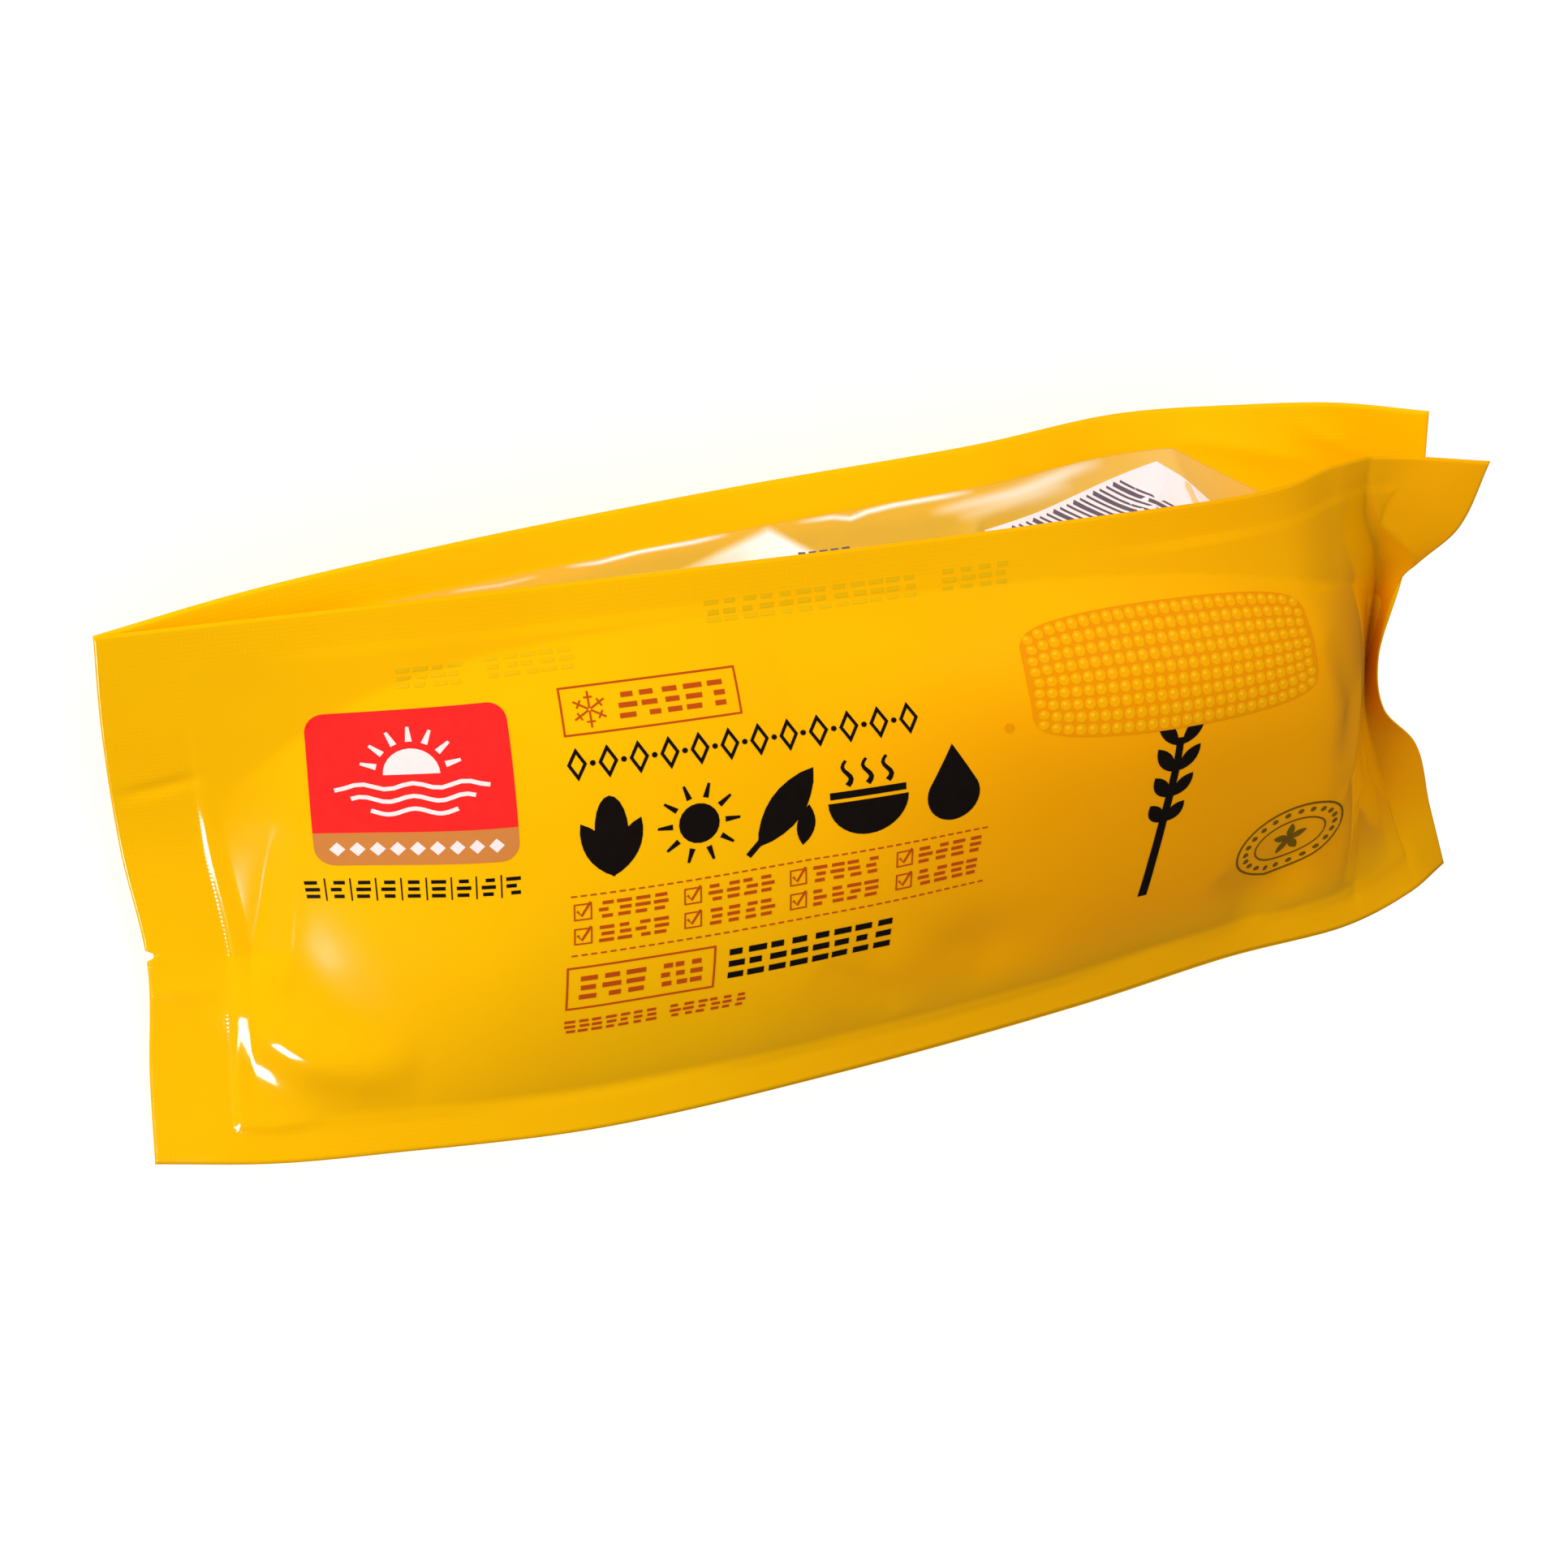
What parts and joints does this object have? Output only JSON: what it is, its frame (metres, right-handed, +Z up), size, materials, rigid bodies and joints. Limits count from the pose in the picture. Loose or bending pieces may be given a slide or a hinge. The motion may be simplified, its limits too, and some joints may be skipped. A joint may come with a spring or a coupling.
{
  "type": "vacuum-packed corn on the cob",
  "caption": "Flat yellow laminate pouch with a corn cob sealed inside, welded bands on all edges and a clear film gusset between its top lips, lying on its back.",
  "frame": {"origin": "on the resting surface, under the middle of the pouch's bounding box", "axes": "+X along the pouch to its right end as printed, +Y from the bottom seam to the gusset side, +Z up out of the printed front panel"},
  "size_m": [0.275, 0.1132, 0.0577],
  "materials": {
    "yellow_laminate": "glossy printed laminate",
    "clear_film": "clear, slightly hazy film"
  },
  "bodies": {
    "root": {"pouch": "yellow_laminate", "clear_film": "clear_film"}
  },
  "joints": []
}
